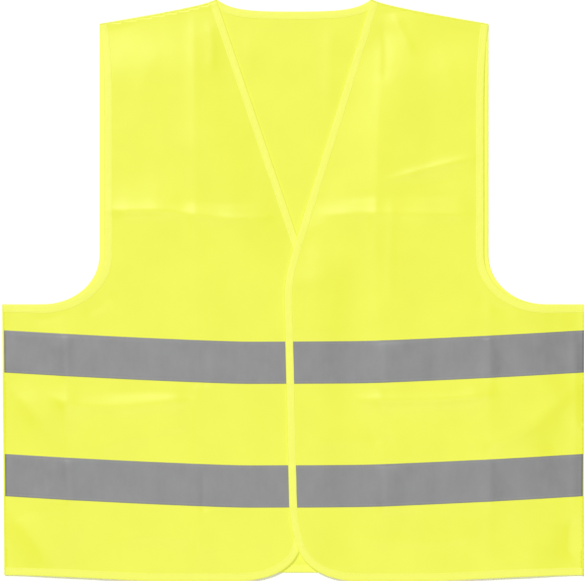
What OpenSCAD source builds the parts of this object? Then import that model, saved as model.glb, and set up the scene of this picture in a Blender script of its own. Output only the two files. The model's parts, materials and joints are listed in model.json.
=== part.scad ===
// High visibility vest, lying on its back with the front up.
// +X is the wearer's left, +Y runs to the neck, +Z comes out of the front.
// The origin is under the middle of the vest, on the surface it lies on.

/* [Body] */
// Half of the width across the armpits
half_w = 346.5; // [330:0.5:360]
// How much nearer the middle each side is at the hem
side_taper = 2.5; // [0:0.5:8]
// Height of the neck points above the middle of the vest
neck_y = 344.5; // [335:0.5:360]
// Half of the width between the neck points
neck_half = 92; // [84:0.5:100]
// Height of the back neck edge at its lowest point
back_neck_y = 330; // [320:0.5:334]
// Height of the shoulder tips
shoulder_y = 316; // [300:0.5:322]
// Distance of the lowest hem below the middle of the vest
hem_y = 344.5; // [340:0.5:350]
// Distance of the hem below the middle of the vest at the sides
hem_side_y = 338; // [330:0.5:339.5]
// Distance of the back hem below the middle of the vest at its middle
back_hem_y = 335; // [330:0.5:338]

/* [Armholes] */
// Distance of the straight back armhole edge from the middle
arm_x = 230.5; // [220:0.5:240]
// How much deeper the front armhole is cut than the back one
front_cut = 6; // [2:0.5:10]
// Height of the armpit edge, below the middle of the vest
armpit_y = 17.2; // [5:0.2:30]
// Width of the rounded part of the armhole
arm_round_w = 67; // [50:1:90]
// Height of the rounded part of the armhole
arm_round_h = 58; // [40:1:80]

/* [Front opening] */
// Height at which the two neck edges cross
cross_y = 64; // [40:1:90]
// Distance of that crossing from the middle, towards the wearer's left
cross_x = 3.6; // [0:0.2:8]
// How far the left front reaches past the middle at the chest
left_reach = 11.5; // [6:0.1:16]
// How far the left front reaches past the middle under the lower tape
left_reach_low = 5.6; // [2:0.1:8]
// How far the left front reaches past the middle near the hem
left_reach_hem = -1.6; // [-4:0.1:2]
// How far the right front reaches past the middle at the chest
right_reach = 17; // [14:0.1:18]
// How far the right front reaches past the middle near the hem
right_reach_hem = 8.6; // [4:0.1:12]
// Distance of the left front's fold line from the middle
left_fold = 80; // [76:0.5:84]
// Distance of the right front's fold line from the middle
right_fold = 60; // [54:0.5:64]

/* [Reflective tape] */
// Width of the tape
tape_w = 50; // [48:0.5:52]
// Distance of the upper tape's top edge below the middle of the vest
upper_tape_y = 62.5; // [50:0.5:70]
// Distance of the lower tape's top edge below the middle of the vest
lower_tape_y = 209; // [190:0.5:220]
// How much higher each tape lies at the side seams
tape_rise = 15; // [0:0.5:20]

/* [Cloth and trim] */
// Thickness of the knitted cloth
cloth_t = 0.5; // [0.4:0.05:0.6]
// Thickness of the reflective tape
tape_t = 0.4; // [0.3:0.05:0.5]
// Thickness of one layer of the edge binding
binding_t = 0.3; // [0.2:0.05:0.35]
// Width of the edge binding
binding_w = 9.5; // [8:0.5:11]
// Underside of the front cloth when the vest lies flat
front_z = 9; // [8:0.1:12]
// Thickness of the wall that stands for a sewn seam
seam_t = 1.2; // [0.8:0.1:2]

/* [Closure] */
// Width of the hook and loop patches
patch_w = 14; // [10:0.5:14]
// Length of the hook and loop patches
patch_l = 50; // [30:1:56]
// Thickness of one patch
patch_t = 1; // [0.8:0.1:1.2]
// Height of the middle of the pair of patches
patch_y = -22; // [-30:1:-20]

/* [Label] */
// Length of the care label
label_l = 50; // [30:1:60]
// Width of the care label
label_w = 32; // [20:1:40]
// Height of the middle of the care label
label_y = -290; // [-300:1:-270]

/* [Hidden] */

cloth_colour = "#f1f55e";
binding_colour = "#f6f86c";
tape_colour = "#949494";
patch_colour = "#e6ee4a";
label_colour = "#f4f4f0";

// Steps along each round stretch of an outline
steps = 14;
// Clearance between pieces that move apart
clear_gap = 0.3;
// Clearance between the two patches
patch_gap = 0.4;
// Clearance between a patch and the leaning binding beside it
patch_inset = 2;
// Underside of the back cloth, which rests on the back tapes
back_z = tape_t;
// How much the left flap is raised over the right flap and the closure
flap_lift = 2 * patch_t + cloth_t + patch_gap;
// Where the left flap starts and ends its rise
rise_start = 62;
rise_end = 36;
// Larger than the vest in every direction
beyond = 800;
// How far the tape's arc stays flat near the middle
tape_arc_power = 1.4;
// Height where the straight part of each front edge starts
straight_top_y = -6;
// Height where the left front edge starts to turn outwards
left_turn_y = -258;
// Height where the round corner of each front starts
corner_top_y = 46 - hem_y;
// Width of the round corner at the foot of each front edge
corner_w = 73;

// ---- curves ----

function bezier(a, b, c, d) = [
    for (i = [0 : steps])
        let (t = i / steps, s = 1 - t)
            s * s * s * a + 3 * s * s * t * b + 3 * s * t * t * c + t * t * t * d
];

function reversed(path) = [for (i = [len(path) - 1 : -1 : 0]) path[i]];

function unit(v) = v / norm(v);

function flipped(path) = [for (p = path) [-p.x, p.y]];

// The path moved d to the left of its own direction
function beside(path, d) = [
    for (i = [0 : len(path) - 1])
        let (
            ahead = unit(path[min(i + 1, len(path) - 1)] - path[max(i - 1, 0)])
        )
            path[i] + d * [-ahead.y, ahead.x]
];

// ---- edges of the wearer's left half, each running down or outwards ----

neck_point = [neck_half, neck_y];
shoulder_tip = [arm_x, shoulder_y];
armpit = [half_w, -armpit_y];
side_hem = [half_w - side_taper, -hem_side_y];
arm_round_x = arm_x + arm_round_w;
arm_round_y = arm_round_h - armpit_y;

shoulder_edge = bezier(neck_point, neck_point + [20, -8], shoulder_tip + [-70, 12], shoulder_tip);

function armhole_edge(cut) = concat(
    bezier(shoulder_tip, shoulder_tip + [-cut, -40], [arm_x - cut, 240], [arm_x - cut, 200]),
    [
        for (i = [0 : steps])
            let (a = 90 * i / steps)
                [
                    arm_round_x - (arm_round_w + cut) * cos(a),
                    arm_round_y - (arm_round_h + cut / 5) * sin(a)
                ]
    ],
    [armpit]
);

side_edge = [armpit, side_hem];

back_neck_edge = concat(
    bezier(neck_point, [neck_half - 17, back_neck_y + 1], [50, back_neck_y], [0, back_neck_y]),
    reversed(flipped(
        bezier(neck_point, [neck_half - 17, back_neck_y + 1], [50, back_neck_y], [2, back_neck_y])
    ))
);

back_hem_edge = concat(
    bezier(side_hem, side_hem + [-120, 0], [120, -back_hem_y], [0, -back_hem_y]),
    reversed(flipped(bezier(side_hem, side_hem + [-120, 0], [120, -back_hem_y], [2, -back_hem_y])))
);

// Neck edge, front edge, round corner and hem of one front.
// cross is where its neck edge meets the other, reach and reach_hem how far it passes the middle.
// turn holds the points between its straight part and its round corner, which starts along lean.
function free_edge(cross, reach, turn, reach_hem, lean) =
    let (
        crossing = [cross, cross_y],
        slope = unit(neck_point - crossing),
        straight_top = [-reach, straight_top_y],
        corner_top = [-reach_hem, corner_top_y],
        corner_end = [corner_w - max(reach_hem, 0), -hem_y]
    )
        concat(
            [neck_point],
            bezier(crossing, crossing - 32 * slope, straight_top + [0, 18], straight_top),
            turn,
            bezier(corner_top, corner_top + lean, corner_end + [-34, 0.5], corner_end),
            bezier([150, -hem_y], [205, -hem_y], [270, -hem_side_y], side_hem)
        );

left_turn = [
    [-left_reach_low, left_turn_y],
    [-left_reach_low + 1, left_turn_y - 13],
    [-left_reach_low + 3.4, left_turn_y - 26]
];
left_free_edge = free_edge(cross_x, left_reach, left_turn, left_reach_hem, [7, -30]);
right_free_edge = free_edge(-cross_x, right_reach, [], right_reach_hem, [4, -33]);

// ---- flat shapes ----

// A strip of width w along a path, on its left, or on its right where w is negative
module strip(path, w) {
    polygon(concat(path, reversed(beside(path, w))));
}

module both_sides() {
    children();
    mirror([1, 0]) children();
}

module back_outline() {
    polygon(concat(
        reversed(back_neck_edge),
        shoulder_edge,
        armhole_edge(0),
        side_edge,
        back_hem_edge,
        reversed(flipped(concat(shoulder_edge, armhole_edge(0), side_edge)))
    ));
}

module front_outline(edge) {
    polygon(concat(shoulder_edge, armhole_edge(front_cut), side_edge, reversed(edge)));
}

// The cloth stops inside the binding and the seams that close its edges
module back_cut() {
    difference() {
        back_outline();
        strip(back_neck_edge, binding_t);
        strip(back_hem_edge, -binding_t);
        both_sides() {
            strip(shoulder_edge, -seam_t);
            strip(armhole_edge(0), -binding_t);
            strip(side_edge, -seam_t);
        }
    }
}

module front_cut(edge) {
    difference() {
        front_outline(edge);
        strip(edge, binding_t);
        strip(shoulder_edge, -seam_t);
        strip(armhole_edge(front_cut), -binding_t);
        strip(side_edge, -seam_t);
    }
}

// Everything outside the fold line of a left front
module panel_side(fold) {
    translate([fold + clear_gap / 2, -beyond / 2]) square([beyond, beyond]);
}

// Everything on the inner side of the fold line of a left front
module flap_side(fold) {
    translate([fold - clear_gap / 2 - beyond, -beyond / 2]) square([beyond, beyond]);
}

function tape_top(x, y) = -y + tape_rise * pow(abs(x) / half_w, tape_arc_power);

// The shape of a tape between two distances from the middle
module tape_area(y, from, to) {
    xs = [for (i = [0 : 2 * steps]) from + (to - from) * i / (2 * steps)];
    polygon(concat(
        [for (x = xs) [x, tape_top(x, y)]],
        reversed([for (x = xs) [x, tape_top(x, y) - tape_w]])
    ));
}

// ---- layers ----

module layer(z0, z1) {
    translate([0, 0, z0]) linear_extrude(z1 - z0) children();
}

// A layer of the left flap, raised by lift over the closure
module raised_layer(z0, z1, lift) {
    profile = [
        [beyond / 2, z0], [rise_start, z0], [rise_end, z0 + lift], [-beyond / 2, z0 + lift],
        [-beyond / 2, z1 + lift], [rise_end, z1 + lift], [rise_start, z1], [beyond / 2, z1]
    ];
    intersection() {
        rotate([90, 0, 0]) linear_extrude(beyond, center = true) polygon(profile);
        layer(z0 - 1, z1 + lift + 1) children();
    }
}

front_top = front_z + cloth_t;
back_top = back_z + cloth_t;

module right_half() {
    mirror([1, 0, 0]) children();
}

// ---- cloth ----

module back_panel() {
    color(cloth_colour) layer(back_z, back_top) back_cut();
}

module front_panel(edge, fold) {
    color(cloth_colour) layer(front_z, front_top) intersection() {
        front_cut(edge);
        panel_side(fold);
    }
}

module front_flap(edge, fold, lift) {
    color(cloth_colour) raised_layer(front_z, front_top, lift) intersection() {
        front_cut(edge);
        flap_side(fold);
    }
}

module left_front_panel() {
    front_panel(left_free_edge, left_fold);
}

module right_front_panel() {
    right_half() front_panel(right_free_edge, right_fold);
}

module left_front_flap() {
    front_flap(left_free_edge, left_fold, flap_lift);
}

module right_front_flap() {
    right_half() front_flap(right_free_edge, right_fold, 0);
}

// ---- seams ----

// The shoulder seam between the neck binding and the armhole binding
module shoulder_seam() {
    color(cloth_colour) layer(back_z, front_top) difference() {
        strip(shoulder_edge, -seam_t);
        neck_end();
        arm_end();
    }
}

module side_seam() {
    color(cloth_colour) layer(back_z, front_top) difference() {
        strip(side_edge, -seam_t);
        armpit_end();
        hem_end();
    }
}

// Ends of the seams that the bindings cross
module neck_end() {
    translate([0, neck_y - 30]) square([neck_half + binding_w, 60]);
}

module arm_end() {
    translate([arm_x - binding_w, shoulder_y - 20]) square([60, 40]);
}

module armpit_end() {
    translate([half_w - 30, -armpit_y - binding_w]) square([60, 30]);
}

module hem_end() {
    translate([half_w - 30, -hem_side_y - 30]) square([60, 30 + binding_w]);
}

module left_shoulder_seam() {
    shoulder_seam();
}

module right_shoulder_seam() {
    right_half() shoulder_seam();
}

module left_side_seam() {
    side_seam();
}

module right_side_seam() {
    right_half() side_seam();
}

// ---- reflective tape ----

module back_tape(y) {
    reach = half_w - side_taper - seam_t;
    color(tape_colour) layer(0, tape_t) tape_area(y, -reach, reach);
}

module panel_tape(y, fold) {
    reach = half_w - side_taper - seam_t;
    color(tape_colour) layer(front_top, front_top + tape_t)
        tape_area(y, fold + clear_gap / 2, reach);
}

module flap_tape(edge, y, fold, lift) {
    color(tape_colour) raised_layer(front_top, front_top + tape_t, lift) intersection() {
        tape_area(y, -fold / 2, fold - clear_gap / 2);
        difference() {
            front_outline(edge);
            strip(edge, binding_w);
        }
    }
}

module back_upper_tape() {
    back_tape(upper_tape_y);
}

module back_lower_tape() {
    back_tape(lower_tape_y);
}

module left_upper_tape() {
    panel_tape(upper_tape_y, left_fold);
}

module right_upper_tape() {
    right_half() panel_tape(upper_tape_y, right_fold);
}

module left_lower_tape() {
    panel_tape(lower_tape_y, left_fold);
}

module right_lower_tape() {
    right_half() panel_tape(lower_tape_y, right_fold);
}

module left_flap_upper_tape() {
    flap_tape(left_free_edge, upper_tape_y, left_fold, flap_lift);
}

module right_flap_upper_tape() {
    right_half() flap_tape(right_free_edge, upper_tape_y, right_fold, 0);
}

module left_flap_lower_tape() {
    flap_tape(left_free_edge, lower_tape_y, left_fold, flap_lift);
}

module right_flap_lower_tape() {
    right_half() flap_tape(right_free_edge, lower_tape_y, right_fold, 0);
}

// ---- edge binding, folded round the cut edge of the cloth ----

module back_binding(path, w) {
    difference() {
        layer(back_z - binding_t, back_top + binding_t) intersection() {
            strip(path, w);
            back_outline();
        }
        layer(back_z, back_top) back_cut();
    }
}

module front_binding(edge, path, w, fold) {
    difference() {
        layer(front_z - binding_t, front_top + binding_t) intersection() {
            strip(path, w);
            front_outline(edge);
            panel_side(fold);
        }
        layer(front_z, front_top) front_cut(edge);
    }
}

// The short wall where a binding passes from the front to the back over a seam
module seam_crossing(path) {
    layer(back_z, front_top) intersection() {
        strip(path, -seam_t);
        children();
    }
}

module neck_binding() {
    color(binding_colour) {
        back_binding(back_neck_edge, binding_w);
        neck_drop(left_free_edge, left_fold);
        right_half() neck_drop(right_free_edge, right_fold);
    }
}

// The neck binding from the shoulder seam to the fold line of one front
module neck_drop(edge, fold) {
    upper = [edge[0], edge[1]];
    front_binding(edge, upper, binding_w, fold);
    seam_crossing(shoulder_edge) neck_end();
}

module armhole_binding(edge, fold) {
    color(binding_colour) {
        back_binding(armhole_edge(0), -binding_w);
        front_binding(edge, armhole_edge(front_cut), -binding_w, fold);
        seam_crossing(shoulder_edge) arm_end();
        seam_crossing(side_edge) armpit_end();
    }
}

module left_armhole_binding() {
    armhole_binding(left_free_edge, left_fold);
}

module right_armhole_binding() {
    right_half() armhole_binding(right_free_edge, right_fold);
}

module hem_binding() {
    color(binding_colour) {
        back_binding(back_hem_edge, -binding_w);
        front_hem(left_free_edge, left_fold);
        right_half() front_hem(right_free_edge, right_fold);
    }
}

// The hem binding of one front outside its fold line
module front_hem(edge, fold) {
    hem = [for (p = edge) if (p.x > fold / 2 && p.y < 0) p];
    front_binding(edge, hem, binding_w, fold);
    seam_crossing(side_edge) hem_end();
}

module flap_binding(edge, fold, lift) {
    color(binding_colour) difference() {
        raised_layer(front_z - binding_t, front_top + binding_t, lift) intersection() {
            strip(edge, binding_w);
            front_outline(edge);
            flap_side(fold);
        }
        raised_layer(front_z, front_top, lift) front_cut(edge);
    }
}

module left_flap_binding() {
    flap_binding(left_free_edge, left_fold, flap_lift);
}

module right_flap_binding() {
    right_half() flap_binding(right_free_edge, right_fold, 0);
}

// ---- closure ----

// Distance past the middle of a front edge at height y, on its straight part down to low_y
function reach_at(y, reach, reach_low, low_y) =
    reach + (reach_low - reach) * (straight_top_y - y) / (straight_top_y - low_y);

// The hook patch hangs under the left flap, beside its binding
module hook_patch() {
    from = binding_w + patch_inset - reach_at(patch_y, left_reach, left_reach_low, left_turn_y);
    color(patch_colour)
        translate([from, patch_y - patch_l / 2, front_z + flap_lift - patch_t])
            cube([patch_w, patch_l, patch_t]);
}

// The loop patch lies on the right flap, beside its binding
module loop_patch() {
    to = reach_at(patch_y, right_reach, right_reach_hem, corner_top_y) - binding_w - patch_inset;
    color(patch_colour) translate([to - patch_w, patch_y - patch_l / 2, front_top])
        cube([patch_w, patch_l, patch_t]);
}

// ---- label ----

// Sewn into the left side seam, lying on the inside of the back
module care_label() {
    color(label_colour)
        translate([half_w - side_taper - seam_t - label_l, label_y - label_w / 2, back_top])
            cube([label_l, label_w, binding_t]);
}

back_panel();
left_front_panel();
right_front_panel();
left_front_flap();
right_front_flap();
left_shoulder_seam();
right_shoulder_seam();
left_side_seam();
right_side_seam();
back_upper_tape();
back_lower_tape();
left_upper_tape();
right_upper_tape();
left_lower_tape();
right_lower_tape();
left_flap_upper_tape();
right_flap_upper_tape();
left_flap_lower_tape();
right_flap_lower_tape();
neck_binding();
left_armhole_binding();
right_armhole_binding();
hem_binding();
left_flap_binding();
right_flap_binding();
hook_patch();
loop_patch();
care_label();
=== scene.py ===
"""A high visibility vest, laid flat on its back with its front edges lapped and closed.

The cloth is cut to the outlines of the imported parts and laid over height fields, one for the back and
one for each front. Everything sewn to the cloth is placed on the same fields, so it follows each crease.
"""
import json
import math

import bpy
import numpy as np
from mathutils.geometry import delaunay_2d_cdt
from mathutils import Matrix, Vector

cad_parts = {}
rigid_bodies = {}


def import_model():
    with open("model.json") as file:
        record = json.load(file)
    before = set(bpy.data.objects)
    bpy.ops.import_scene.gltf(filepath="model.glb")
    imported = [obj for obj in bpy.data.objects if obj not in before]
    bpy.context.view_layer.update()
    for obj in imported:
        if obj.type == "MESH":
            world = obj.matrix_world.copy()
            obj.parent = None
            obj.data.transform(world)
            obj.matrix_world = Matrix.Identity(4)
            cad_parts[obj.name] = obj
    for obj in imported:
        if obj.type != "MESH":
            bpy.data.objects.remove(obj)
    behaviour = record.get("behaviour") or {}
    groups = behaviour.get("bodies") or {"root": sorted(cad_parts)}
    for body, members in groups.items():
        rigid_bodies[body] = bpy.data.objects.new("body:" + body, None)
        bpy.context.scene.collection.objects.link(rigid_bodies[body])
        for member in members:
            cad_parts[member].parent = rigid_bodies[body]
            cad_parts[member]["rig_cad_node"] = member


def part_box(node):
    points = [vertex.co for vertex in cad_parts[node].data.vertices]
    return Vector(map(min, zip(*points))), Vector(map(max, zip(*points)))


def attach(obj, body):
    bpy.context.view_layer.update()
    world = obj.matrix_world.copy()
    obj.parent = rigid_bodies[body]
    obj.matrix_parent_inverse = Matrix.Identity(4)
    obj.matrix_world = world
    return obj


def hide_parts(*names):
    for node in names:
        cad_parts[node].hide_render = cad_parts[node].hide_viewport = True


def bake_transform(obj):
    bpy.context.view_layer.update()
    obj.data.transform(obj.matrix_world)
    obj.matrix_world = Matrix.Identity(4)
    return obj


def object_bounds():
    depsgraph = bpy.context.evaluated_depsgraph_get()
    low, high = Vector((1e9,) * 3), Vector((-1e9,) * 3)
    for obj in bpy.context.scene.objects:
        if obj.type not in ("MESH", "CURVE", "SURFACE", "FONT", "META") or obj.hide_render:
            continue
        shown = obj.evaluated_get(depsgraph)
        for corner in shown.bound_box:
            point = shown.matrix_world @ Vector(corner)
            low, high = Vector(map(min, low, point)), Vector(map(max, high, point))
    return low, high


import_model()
cad_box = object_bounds()

# ---------------------------------------------------------------- sizes, in metres

MM = 0.001
SIDES = LEFT, RIGHT = 1, -1  # the wearer's sides, which are also the signs of X
SIDE_NAME = {LEFT: "left", RIGHT: "right"}
FLAP = {LEFT: "left_flap", RIGHT: "right_flap"}  # the moving body on each side

CLOTH = 0.5 * MM  # thickness of the knitted cloth
TAPE = 0.35 * MM  # thickness of the reflective tape
TAPE_W = 50 * MM  # its width
EDGING = 0.27 * MM  # thickness of the braid folded round an edge
EDGING_W = 8.8 * MM  # how far the braid reaches over each face
SEAM_W = 1.6 * MM  # width of the rolled seam that joins front and back
PATCH = 0.35 * MM  # thickness of the base of a closure patch
THREAD = 0.34 * MM  # thickness of the sewing thread
STITCH = 3.0 * MM  # distance between needle holes
PATCH_STITCH = 2.2 * MM  # the same round the closure patches
TAPE_ROW = 2.6 * MM  # distance of a tape's stitches from its edge
EDGING_ROW = 1.7 * MM  # distance of the braid's stitches from its inner edge
FREE_GAP = 1.5 * MM  # how far a tape ends from a front edge
SIDE_GAP = 0.3 * MM  # how far it ends from the side of its cloth

BACK_Z = 0.85 * MM  # height of the middle of the back cloth over the floor
BACK_SEAM_Z = 1.8 * MM  # the same where it is sewn to the front
FRONT_Z = 5.2 * MM  # height of the middle of a front, away from its edges
FRONT_SEAM_Z = 3.0 * MM  # the same where it is sewn to the back
FRONT_EDGE_Z = 2.3 * MM  # the same at the ends of the armholes and of the hem
EDGE_LIFT = 3.2 * MM  # how much higher those edges stand away from the seams
FRONT_NECK_Z = 2.3 * MM  # the same along the neck
CLEAR = 1.2 * MM  # least distance between the middles of a front and of the back
LAP = 2.0 * MM  # how much higher the left front lies over the right one
CLOSURE_LAP = 2.7 * MM  # the same over the hook and loop closure
BACK_RISE = 15 * MM  # how far from a seam the back lies on the floor
FRONT_RISE = 80 * MM  # how far from a seam or a free edge a front reaches its height
EDGE_RISE = 70 * MM  # the same from the neck, and along an edge away from a seam
NECK_FOOT_Y = 70 * MM  # the neck is the part of a front's free edge above this
HEM_BAND = 20 * MM  # its hem is the part that is this near to the foot of the vest
UPRIGHT = 40 * MM  # its upright part is below this height and this near to the middle
LAP_X = 20 * MM, 78 * MM  # the left front lies higher up to the first x, and rejoins its height at the last
LAP_Y = 70 * MM, 110 * MM  # the same for y

FRONT_MESH = 3.3 * MM  # spacing of the points of a front
BACK_MESH = 4.2 * MM  # spacing of the points of the back
FIELD_STEP = 2.0 * MM  # spacing of the height fields
FIELD_MARGIN = 14 * MM  # how far they reach past the vest
PATH_STEP = 3 * MM  # spacing of the points of an outline
PATH_BLUR = 4 * MM  # how far its small corners are rounded
STRIP_STEP = 2.5 * MM  # the same along the braid and the seams

# ---------------------------------------------------------------- small helpers


def smooth(value):
    """Rises smoothly from 0 to 1 as the value goes from 0 to 1."""
    value = np.clip(value, 0, 1)
    return value * value * (3 - 2 * value)


def between(low, high, share):
    """Goes smoothly from low to high as the share goes from 0 to 1."""
    return low + (high - low) * smooth(share)


def length_along(path):
    """How far along a path each of its points lies."""
    return np.concatenate([[0], np.cumsum(np.linalg.norm(np.diff(path, axis=0), axis=1))])


def spread(path, count):
    """The same path with a number of evenly spaced points."""
    run = length_along(path)
    at = np.linspace(0, run[-1], count)
    return np.column_stack([np.interp(at, run, path[:, k]) for k in (0, 1)])


def even(path, step):
    """The same path with its points about a step apart."""
    return spread(path, max(3, int(round(length_along(path)[-1] / step)) + 1))


def softened(path, step, blur):
    """An even path with its small corners rounded off. Its two ends stay where they are."""
    path = even(path, step)
    reach = min(int(3 * blur / step), len(path) - 2)
    weights = np.exp(-0.5 * (np.arange(-reach, reach + 1) * step / blur) ** 2)
    weights /= weights.sum()
    before = 2 * path[0] - path[reach:0:-1]
    after = 2 * path[-1] - path[-2 : -reach - 2 : -1]
    longer = np.concatenate([before, path, after])
    return np.column_stack([np.convolve(longer[:, k], weights, "valid") for k in (0, 1)])


def inward(path):
    """Unit vectors to the left of a path, which is into the cloth for an outline."""
    along = np.gradient(path, axis=0)
    along /= np.linalg.norm(along, axis=1)[:, None]
    return np.column_stack([-along[:, 1], along[:, 0]])


# ---------------------------------------------------------------- outlines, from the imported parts


def outline(node):
    """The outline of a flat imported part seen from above, counter-clockwise."""
    mesh = next(o for o in bpy.data.objects if o.get("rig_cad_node") == node).data
    after = {}
    for face in mesh.polygons:
        if face.normal.z < 0.5:
            continue
        corners = [tuple(round(c, 5) for c in mesh.vertices[v].co.xy) for v in face.vertices]
        for a, b in zip(corners, corners[1:] + corners[:1]):
            if a in after.get(b, ()):
                after[b].remove(a)
            elif a != b:
                after.setdefault(a, []).append(b)
    longest = []
    while any(after.values()):
        start = next(a for a in after if after[a])
        path = [start]
        while after.get(path[-1]):
            path.append(after[path[-1]].pop())
            if path[-1] == start:
                break
        if len(path) > len(longest):
            longest = path
    return np.array(longest[:-1])


def cut_at(loop, x):
    """A closed outline opened along its straight stretch at x, with that stretch left out."""
    on_line = np.abs(loop[:, 0] - x) < 0.05 * MM
    start = np.flatnonzero(on_line & ~np.roll(on_line, -1))[0]
    order = np.roll(np.arange(len(loop)), -start)
    inner = [i for i in order[1:] if not on_line[i]]
    last = next(i for i in order[1:] if on_line[i])
    return loop[[start] + inner + [last]]


def joined(panel, flap):
    """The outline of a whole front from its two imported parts."""
    outer, inner = outline(panel), outline(flap)
    side = 1 if outer[:, 0].mean() > inner[:, 0].mean() else -1
    outer = cut_at(outer, (outer[:, 0] * side).min() * side)
    inner = cut_at(inner, (inner[:, 0] * side).max() * side)
    return np.concatenate([outer, inner])


def edge(loop, start, end):
    """The edge of a closed outline from the corner furthest along start to the one along end."""
    first, last = (int(np.argmax(loop @ np.array(way))) for way in (start, end))
    if last <= first:
        last += len(loop)
    return softened(loop[np.arange(first, last + 1) % len(loop)], PATH_STEP, PATH_BLUR)


def edges(loop, side):
    """The named edges of the cloth on one side of an outline, each with the cloth on its left."""
    corners = [(side, -1), (side, 0.2), (side, 1), (0.05 * side, 1)]
    names = ["side", "armhole", "shoulder"]
    if side == RIGHT:
        corners.reverse()
        names.reverse()
    return {name: edge(loop, a, b) for name, a, b in zip(names, corners, corners[1:])}


def closed_outline(*stretches):
    """One closed outline from edges that follow each other."""
    return np.concatenate([path[:-1] for path in stretches])


front_edges, back_edges, fold_x = {}, {}, {}
back_loop = outline("back_panel")
for side in SIDES:
    panel, flap = (SIDE_NAME[side] + part for part in ("_front_panel", "_front_flap"))
    loop = joined(panel, flap)
    front_edges[side] = edges(loop, side)
    ends = [(0.05 * side, 1), (side, -1)]
    front_edges[side]["free"] = edge(loop, *ends[::side])
    back_edges[side] = edges(back_loop, side)
    panel_box, flap_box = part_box(panel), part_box(flap)
    near, far = (panel_box[0], flap_box[1]) if side == LEFT else (panel_box[1], flap_box[0])
    fold_x[side] = (near.x + far.x) / 2
back_neck = edge(back_loop, (0.05, 1), (-0.05, 1))
back_hem = edge(back_loop, (-1, -1), (1, -1))

# ---------------------------------------------------------------- height fields

xs, ys = (np.arange(cad_box[0][k] - FIELD_MARGIN, cad_box[1][k] + FIELD_MARGIN, FIELD_STEP) for k in (0, 1))
X, Y = np.meshgrid(xs, ys)


def nearest(paths, x=X, y=Y):
    """For each place, its distance to the nearest of the points of some paths, and that point's index."""
    points = np.concatenate(paths)
    flat = np.column_stack([x.ravel(), y.ravel()])
    best, which = np.full(len(flat), np.inf), np.zeros(len(flat), int)
    for first in range(0, len(points), 64):
        part = points[first : first + 64]
        far = ((flat[:, None, 0] - part[:, 0]) ** 2) + ((flat[:, None, 1] - part[:, 1]) ** 2)
        k = far.argmin(1)
        value = far[np.arange(len(flat)), k]
        closer = value < best
        best[closer], which[closer] = value[closer], k[closer] + first
    return np.sqrt(best).reshape(x.shape), which.reshape(x.shape)


def crease(points, height, upper, lower, fade=40, crest=1.5):
    """A ridge along points, in millimetres. Its flank on the left of the path is upper mm wide, and
    lower mm on the right, and crest mm rounds its top. A negative height is a valley. It fades out over
    fade mm at each end."""
    path = softened(np.array(points, float) * MM, PATH_STEP, 9 * MM)
    far, which = nearest([path])
    left = inward(path)[which]
    offset = (X - path[which, 0]) * left[..., 0] + (Y - path[which, 1]) * left[..., 1]
    width = np.where(offset > 0, upper, lower) * MM
    run = which * PATH_STEP / MM
    end = smooth(run / fade) * smooth((run.max() - run) / fade)
    beyond = np.exp(-(np.maximum(far**2 - offset**2, 0) / (12 * MM) ** 2))
    drop = (np.sqrt(offset**2 + (crest * MM) ** 2) - crest * MM) / width
    return height * MM * np.exp(-drop) * end * beyond


def handled(seed, count):
    """Many small creases from handling, mostly level or upright, the same each time for one seed."""
    rng = np.random.default_rng(seed)
    total = np.zeros_like(X)
    for _ in range(count):
        middle = rng.uniform((-320, -330), (320, 300))
        level = rng.random() < 0.6
        angle = rng.normal(0 if level else math.pi / 2, 0.35)
        half = rng.uniform(14, 42)
        bow = rng.uniform(-5, 5)
        along = np.array([math.cos(angle), math.sin(angle)])
        points = [middle - half * along, middle + bow * along[::-1], middle + half * along]
        height = rng.choice([-1, 1]) * rng.uniform(0.05, 0.2)
        upper, lower = rng.uniform(3, 9, 2)
        total = total + crease(points, height, upper, lower, fade=half * 0.8)
    return total


def rumple(seed, across, along, height):
    """Soft uneven swells, about across mm wide in X and along mm in Y, the same each time for one seed."""
    noise = np.random.default_rng(seed).standard_normal(X.shape)
    fy, fx = np.fft.fftfreq(X.shape[0], FIELD_STEP), np.fft.fftfreq(X.shape[1], FIELD_STEP)
    band = np.exp(-((fx[None, :] * across * MM) ** 2) - (fy[:, None] * along * MM) ** 2)
    field = np.real(np.fft.ifft2(np.fft.fft2(noise) * band))
    return height * MM * field / np.abs(field).max()


class Layer:
    """The middle surface of one sheet of cloth, as its height over the floor."""

    def __init__(self, height):
        self.height = height
        self.rise_y, self.rise_x = np.gradient(height, FIELD_STEP)

    def read(self, field, x, y):
        u = np.clip((x - xs[0]) / FIELD_STEP, 0, len(xs) - 1.001)
        v = np.clip((y - ys[0]) / FIELD_STEP, 0, len(ys) - 1.001)
        i, j = u.astype(int), v.astype(int)
        u, v = u - i, v - j
        near = field[j, i] * (1 - u) + field[j, i + 1] * u
        far = field[j + 1, i] * (1 - u) + field[j + 1, i + 1] * u
        return near * (1 - v) + far * v

    def place(self, path, offset=0.0):
        """Points over a path in plan, offset from the middle of the cloth along its normal."""
        x, y = path.T
        z = self.read(self.height, x, y)
        slopes = [-self.read(rise, x, y) for rise in (self.rise_x, self.rise_y)]
        normal = np.column_stack([*slopes, np.ones_like(z)])
        normal /= np.linalg.norm(normal, axis=1)[:, None]
        return np.column_stack([x, y, z]) + normal * (np.ones_like(z) * offset)[:, None]


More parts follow.
